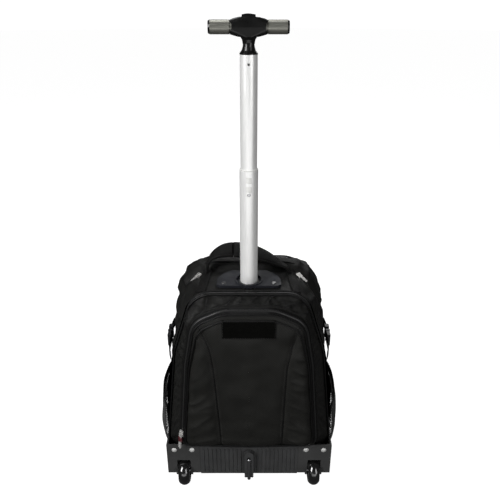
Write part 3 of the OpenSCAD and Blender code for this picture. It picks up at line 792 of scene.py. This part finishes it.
NET_WIDE, NET_TALL = 40, 50
NET_STEPS = [k / 40 for k in range(41)]
HEM = [(-7, 0.7), (7, 0.7), (7, -0.9), (-7, -0.9)]
BINDING = [(-4, 0.8), (4, 0.8), (4, -1.0), (-4, -1.0)]
STRAP_Z = 288
SIDE_STRAPS = {
    "front": [(148.5, -46), (153, -30), (154.6, -10), (154.8, 19)],
    "rear": [(158.6, 44), (157.6, 56), (156, 72)],
}


def net_point(side, s, t):
    """The bellied side pocket: s runs from its front edge to its rear edge, t from bottom to mouth."""
    rim = 168 + 22 * s
    y = -46 + 12 * (1 - t) * (1 - s) + (110 - 12 * (1 - t)) * s
    z = 40 + (rim - 40) * t
    wall = 163 if z > 63 else 133 + math.sqrt(900 - (63 - z) ** 2)
    belly = math.sin(math.pi * min(1, max(0, s))) ** 0.55
    height = math.sin(math.pi * 0.86 * t ** 0.55) ** 0.8 if t < 1 else 0.42
    out = 1.2 + belly * (5.5 * t + 20.5 * height * (1 - 0.30 * t))
    out += belly * 1.6 * noise.noise(Vector((s * 3.1, t * 3.7, 2.0 + side)))
    return Vector((side * min(187.5, wall + out), y, z))


for side, tag in ((-1, "left"), (1, "right")):
    dots, index, faces = [], {}, []
    for b in range(NET_TALL + 1):
        for a in range(NET_WIDE + 1):
            if (a + b) % 2 == 0:
                index[a, b] = len(dots)
                dots.append(net_point(side, a / NET_WIDE, b / NET_TALL))
    for b in range(NET_TALL - 1):
        for a in range(NET_WIDE + 1):
            cell = [(a, b), (a + 1, b + 1), (a, b + 2), (a - 1, b + 1)]
            if all(c in index for c in cell):
                faces.append([index[c] for c in cell])
    net = make("side_net_" + tag, dots, faces, POCKET_NET, slot="mesh")
    wires = net.modifiers.new("threads", "WIREFRAME")
    wires.thickness = 0.0012
    wires.use_even_offset = False
    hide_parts("side_pocket_" + tag)
    away = (side, 0, 0)
    mouth = [net_point(side, s, 1) for s in NET_STEPS]
    sweep("pocket_hem_" + tag, mouth, HEM, HEM_CLOTH, up=away, slot="webbing")
    edges = [net_point(side, 0, 1 - s) for s in NET_STEPS]
    edges += [net_point(side, s, 0) for s in NET_STEPS[1:]] + [net_point(side, 1, s) for s in NET_STEPS[1:]]
    sweep("pocket_binding_" + tag, edges, BINDING, HEM_CLOTH, up=away, slot="webbing")
    stitches("pocket_stitches_" + tag, mouth, [Vector(away)] * len(mouth), 0.9, 3.6)

    # side straps with a sewn fold at each end
    for part, path in SIDE_STRAPS.items():
        line = [Vector((side * x, y, z)) for x, y, z in smooth_path([(x, y, STRAP_Z) for x, y in path], 24)]
        strap = sweep("side_strap_%s_%s" % (part, tag), line, band(20, 1.5), STRAP_WEB,
                      up=away, slot="webbing")
        if side < 0 and part == "front":
            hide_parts("compression_straps")
        ends = line[:5] if part == "front" else line[-5:]
        for v, row in ((-7, "low"), (7, "high")):
            tack("side_tack_%s_%s_%s" % (part, tag, row), ends, (0, 0, v), away, 1.4)


# burgundy grip with two ribs on the pull of the pocket zip
lean_x = math.radians(4.9)
down = Vector((-math.sin(lean_x), 0, -math.cos(lean_x)))
out = Vector((-0.7045, -0.7071, -0.0604))
out = (out - down * out.dot(down)).normalized()
knob = Vector((-129.5, -96.5, 142)) + out * 4.15
core = [knob + down * t for t in (7.5, 8, 10, 10.6, 11.4, 12, 14, 14.6, 15.4, 16, 18.5, 19)]
girth = (0.6, 1, 1, 0.8, 0.8, 1, 1, 0.8, 0.8, 1, 1, 0.6)
loop = [(5.2, -1.4), (5.2, 1.4), (4.0, 2.2), (-4.0, 2.2),
        (-5.2, 1.4), (-5.2, -1.4), (-4.0, -2.2), (4.0, -2.2)]
side = down.cross(out).normalized()
grip_points = [c + side * u * g + out * v * g for c, g in zip(core, girth) for u, v in loop]
make("pull_grip", grip_points, strips(len(core), len(loop), True, True, True), WINE,
     body="pocket_pull", slot="slider_bright", level=1)


# ---------- carrying handle ----------

# The middle of the handle from left to right, as x, y, z
HANDLE_LINE = [(-80, 26, 428.2), (-79, 29, 442.2), (-72, 36, 454.2), (-56, 43, 463.2),
               (-34, 47, 467.2), (-8, 47, 465.2), (16, 45, 459.2), (38, 41, 451.2),
               (58, 36, 442.2), (73, 30, 436.7), (80, 26, 428.2)]
# At the same points: half width, lean of the flat side in degrees, half thickness
HANDLE_FORM = [(6, 0, 2), (8, 6, 3), (13, 16, 4), (17, 24, 4.4), (18, 26, 4.4), (18, 26, 4.4),
               (18, 26, 4.4), (16, 24, 4.4), (13, 16, 4), (8, 6, 3), (6, 0, 2)]
LAPS = 88
HANDLE_SIDES = 32


def handle_form(k):
    """Half width, lean and half thickness at lap k. The last lap has the form of the point before it."""
    t = 10 * k / (LAPS - 1)
    a, b = HANDLE_FORM[min(int(t), 9)], HANDLE_FORM[min(int(t) + 1, 10)]
    return [p + (q - p) * (t - int(t)) for p, q in zip(a, b)]


crest = smooth_path(HANDLE_LINE, LAPS)
rows, backs, fronts, tops = [], [], [], []
for k, p in enumerate(crest):
    wide, lean, thick = handle_form(k)
    along = (crest[min(k + 1, LAPS - 1)] - crest[max(k - 1, 0)]).normalized()
    flat_way = Vector((0, math.cos(math.radians(lean)), math.sin(math.radians(lean))))
    flat_way = (flat_way - along * flat_way.dot(along)).normalized()
    up = along.cross(flat_way)
    up = up if up.z + up.x * p.x > 0 else -up
    wrinkle = 0.5 * noise.noise(Vector((k / 5, 0, 1))) + 0.5 * ridged(Vector((k / 6, 1.5, 4)))
    for a in range(HANDLE_SIDES):
        c, d = math.cos(2 * math.pi * a / HANDLE_SIDES), math.sin(2 * math.pi * a / HANDLE_SIDES)
        v = math.copysign(abs(c) ** 0.45, c)
        tall = math.copysign(abs(d) ** 0.8, d)
        groove = 1 - 0.35 * bell(abs(v) - 0.8, 0.1) + 0.12 * math.cos(v * math.pi)
        rows.append(p + flat_way * v * wide + up * tall * (thick * groove + (wrinkle if d > 0 else 0)))
    backs.append(p + flat_way * wide * 0.84)
    fronts.append(p - flat_way * wide * 0.84)
    tops.append(up)
carry = make("carry_handle_pad", rows, strips(LAPS, HANDLE_SIDES, True, True, True), TOP_WEB,
             body="carry_handle", slot="webbing", level=1)
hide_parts("grab_handle")
for tag, line in (("rear", backs), ("front", fronts)):
    stitches("handle_stitches_" + tag, line[9:-9], tops[9:-9], 3.4, 3.2, body="carry_handle")

# webbing under each end of the handle, sewn down as far as the front edge of the top
bpy.context.view_layer.update()
graph = bpy.context.evaluated_depsgraph_get()
for side, tag in ((-1, "left"), (1, "right")):
    path, ups = [], []
    for y in range(38, -50, -4):
        place, normal = on_surface(body_shell, (side * (80 + 0.09 * (28 - y)), y, 560), (0, 0, -1))
        path.append(place)
        ups.append(normal if normal.z > 0 else -normal)
    path = [a.lerp(b, 0.5).lerp(c, 1 / 3) for a, b, c in zip(path[:1] + path, path, path[1:] + path[-1:])]
    path = shifted(path, ups, 0.9)
    sweep("handle_tab_" + tag, path, band(17, 1.6), TOP_WEB, up=ups, slot="webbing")
    for v in (-6.6, 6.6):
        line = [p + Vector((v, 0, -v * u.x / u.z)) for p, u in zip(path, ups)]
        stitches("tab_stitches_%s_%s" % (tag, "out" if v * side > 0 else "in"), line, ups, 1.0, 3.0)


# ---------- back: pads and shoulder straps ----------

def rounded(points, count=26):
    """The outline, in x and z, around a limb given by centres with a radius each."""
    spots = smooth_path([(x, r, z) for x, z, r in points], count)
    left, right, turns = [], [], []
    for k, p in enumerate(spots):
        a, b = spots[max(k - 1, 0)], spots[min(k + 1, count - 1)]
        turns.append(math.atan2(b.z - a.z, b.x - a.x))
        across = Vector((-math.sin(turns[-1]), math.cos(turns[-1]))) * p.y
        left.append((p.x + across.x, p.z + across.y))
        right.append((p.x - across.x, p.z - across.y))
    tips = []
    for here, start in ((spots[-1], turns[-1] + math.pi / 2), (spots[0], turns[0] - math.pi / 2)):
        bend = [start - math.pi * t / 9 for t in range(1, 9)]
        tips.append([(here.x + here.y * math.cos(a), here.z + here.y * math.sin(a)) for a in bend])
    return left + tips[0] + right[::-1] + tips[1]


# The pads' simulation: size of the mesh in metres, height of the held back, frames that it runs
PAD_MESH = 0.004
HELD_HEIGHT = 1.5
BLOW_FRAMES = 20
CHANNEL_DEPTH = 2.2


def evaluated(obj):
    return obj.evaluated_get(bpy.context.evaluated_depsgraph_get())


def cushion(name, outline, low, high, cap, material, channels=()):
    """A thin foam pad between two depths: a slab blown up as cloth, with its back held flat.

    Its swelling is capped, and sewn channels cross it at the heights given.
    """
    count = len(outline)
    points = [Vector((x, y, z)) for y in (low, high) for x, z in outline]
    faces = [tuple(range(count))[::-1], tuple(range(count, 2 * count))]
    faces += [(i, (i + 1) % count, count + (i + 1) % count, count + i) for i in range(count)]
    pad = make(name, points, faces, material, slot="panel_fabric")
    even = pad.modifiers.new("even", "REMESH")
    even.mode, even.voxel_size = "VOXEL", PAD_MESH
    solid = bpy.data.meshes.new_from_object(evaluated(pad))
    pad.modifiers.clear()
    pad.data = solid
    if not solid.materials:
        solid.materials.append(material)
    rest = [v.co.copy() for v in solid.vertices]
    held = [i for i, p in enumerate(rest) if p.y < (low + HELD_HEIGHT) * MM]
    pad.vertex_groups.new(name="held").add(held, 1.0, "REPLACE")
    cloth = pad.modifiers.new("cloth", "CLOTH")
    cloth.settings.quality = 5
    cloth.settings.mass = 0.3
    cloth.settings.use_pressure = True
    cloth.settings.uniform_pressure_force = 4
    cloth.settings.vertex_group_mass = "held"
    cloth.settings.effector_weights.gravity = 0
    cloth.collision_settings.use_collision = False
    cloth.point_cache.frame_end = BLOW_FRAMES
    for step in range(1, BLOW_FRAMES + 1):
        bpy.context.scene.frame_set(step)
    moved = [v.co.copy() for v in evaluated(pad).data.vertices]
    pad.modifiers.remove(cloth)
    bpy.context.scene.frame_set(1)
    for v, p, q in zip(solid.vertices, rest, moved):
        push = q - p
        v.co = p + push * min(1.0, cap * MM / max(push.length, 1e-9))
        place = v.co / MM
        if place.y > (low + high) / 2:
            dip = sum(bell(place.z - z - 0.0009 * (place.x % 60 - 30) ** 2, 3.0) for z in channels)
            v.co.y -= CHANNEL_DEPTH * MM * min(1.0, dip) - 0.25 * MM * slack(place, 9, 2)
    solid.polygons.foreach_set("use_smooth", [True] * len(solid.polygons))
    subdivided(pad, 1)
    return pad


def bound(name, outline, y, wide=2.6):
    """A cloth binding around a pad's edge, facing out of the outline whichever way that runs."""
    loop = [Vector((x, y, z)) for x, z in outline]
    area = sum(a.x * b.z - b.x * a.z for a, b in zip(loop, loop[1:] + loop[:1]))
    ups = []
    for i in range(len(loop)):
        along = (loop[(i + 1) % len(loop)] - loop[i - 1]).normalized()
        up = along.cross(Vector((0, 1, 0)))
        ups.append(-up if area > 0 else up)
    profile = [(-wide, 0.9), (wide, 0.9), (wide + 0.3, -1.8), (-wide - 0.3, -1.8)]
    sweep(name, loop, profile, HEM_CLOTH, up=ups, closed=True, slot="webbing")


for side, tag in ((-1, "left"), (1, "right")):
    shape = rounded([(side * (46 - (z - 130) * 0.03), z, 22.5) for z in (130, 180, 230, 280, 330)])
    cushion("back_pad_" + tag, shape, 97.8, 102.6, 3.0, BACK_MESH, range(150, 330, 30))
    bound("back_pad_edge_" + tag, shape, 98.6, 1.0)
shape = rounded([(x, 74, 21) for x in (-62, -20, 20, 62)])
cushion("lumbar_pad", shape, 97.8, 102.8, 3.2, BACK_MESH)
bound("lumbar_pad_edge", shape, 98.6, 1.0)
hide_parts("back_pads")

# Shoulder straps: the pad as x, z and half width, then its webbing above as y, z and below as x, y, z
STRAP_LINE = [(76, 392, 23), (90, 330, 25), (102, 260, 26), (110, 200, 23), (116, 168, 17)]
STRAP_ROOT = [(95.5, 418), (98.5, 414), (103, 404), (109.6, 396), (110.6, 382)]
STRAP_TAIL = [(117, 106.5, 160), (117, 102.6, 146), (117, 101.8, 128),
              (123, 100.6, 100), (130, 98.9, 66), (132, 98.5, 58)]
for side, tag in ((-1, "left"), (1, "right")):
    shape = rounded([(side * x, z, r) for x, z, r in STRAP_LINE], 40)
    strap = cushion("strap_pad_" + tag, shape, 103.6, 108.8, 2.2, LINING)
    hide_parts("shoulder_strap_" + tag)
    bound("strap_edge_" + tag, shape, 106.0, 2.4)
    root = [Vector((side * 75, y, z)) for y, _, z in smooth_path([(y, 0, z) for y, z in STRAP_ROOT], 22)]
    sweep("strap_root_" + tag, root, band(34, 1.6), STRAP_WEB, up=(0, 1, 0.05), slot="webbing")
    line = [Vector((side * p.x, p.y, p.z)) for p in smooth_path(STRAP_TAIL, 30)]
    lower = sweep("strap_tail_" + tag, line, band(18, 1.4), STRAP_WEB, up=(0, 1, 0), slot="webbing")
    if side < 0:
        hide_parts("strap_webbing")
    for v, row in ((-6, "low"), (6, "high")):
        tack("strap_tack_%s_%s" % (tag, row), line[-6:], (v, 0, 0), (0, 1, 0), 1.2)
        tack("root_tack_%s_%s" % (tag, row), root[-6:], (v * 2, 0, 0), (0, 1, 0), 1.3)


# ---------- camera, light and floor ----------

LOOK_DOWN = 25
STUDIO_HALF = 20000

camera = bpy.data.objects.new("camera", bpy.data.cameras.new("camera"))
bpy.context.scene.collection.objects.link(camera)
camera.location = at(2, -888, 902)
camera.rotation_euler = (math.radians(90 - LOOK_DOWN), 0, 0)
camera.data.lens = 38.6
camera.data.sensor_width = 36
camera.data.clip_end = 200
bpy.context.scene.camera = camera
bpy.context.scene.view_settings.view_transform = "Standard"


def lamp(name, place, target, size, power, tall=None):
    """An area lamp, placed and sized in metres."""
    data = bpy.data.lights.new(name, "AREA")
    data.energy = power
    data.size = size
    if tall:
        data.shape = "RECTANGLE"
        data.size_y = tall
    obj = bpy.data.objects.new(name, data)
    bpy.context.scene.collection.objects.link(obj)
    obj.location = place
    obj.rotation_euler = (Vector(target) - Vector(place)).to_track_quat("-Z", "Y").to_euler()


lamp("key", (-1.9, -1.5, 1.7), (0, 0, 0.35), 0.8, 74, 1.6)
lamp("fill", (1.7, -2.0, 1.2), (0, 0, 0.4), 1.0, 24, 1.8)
lamp("low", (0, -1.7, 0.12), (0, 0, 0.75), 2.4, 7, 0.5)
lamp("top", (-0.3, 0.5, 2.3), (0, 0, 0.3), 1.0, 12)
lamp("back", (0.6, 2.2, 1.5), (0, 0, 0.4), 1.4, 13)

world = bpy.data.worlds.new("studio")
world.use_nodes = True
world.node_tree.nodes["Background"].inputs["Color"].default_value = (1, 1, 1, 1)
world.node_tree.nodes["Background"].inputs["Strength"].default_value = 0.06
bpy.context.scene.world = world


def glowing(name, grey, strength):
    """Studio paint that shines by itself."""
    paint = Shader(name, (grey, grey, grey), 0.8, specular=0.1)
    paint.main.inputs["Emission Color"].default_value = (1, 1, 1, 1)
    paint.main.inputs["Emission Strength"].default_value = strength
    return paint


floor_paint = glowing("floor_paint", 0.3, 0.97)
floor_paint.tint(floor_paint.cloud(3, 2), 0.99, 1.01)
corners = [(x * STUDIO_HALF, y * STUDIO_HALF, -0.2) for x, y in ((-1, -1), (1, -1), (1, 1), (-1, 1))]
floor = make("floor", corners, [(0, 1, 2, 3)], floor_paint.material)
wall_paint = glowing("wall_paint", 0.9, 1.0)
turns = [a * math.pi / 24 for a in range(48)]
rim = [(STUDIO_HALF * math.cos(a), STUDIO_HALF * math.sin(a)) for a in turns]
walls = [(x, y, z) for z in (-3000, STUDIO_HALF) for x, y in rim]
wall = make("wall", walls, strips(2, 48, True, False, True), wall_paint.material)
for stage in (floor, wall):
    stage.visible_diffuse = False
    stage.visible_glossy = False
    stage.visible_transmission = False
    stage.visible_shadow = False
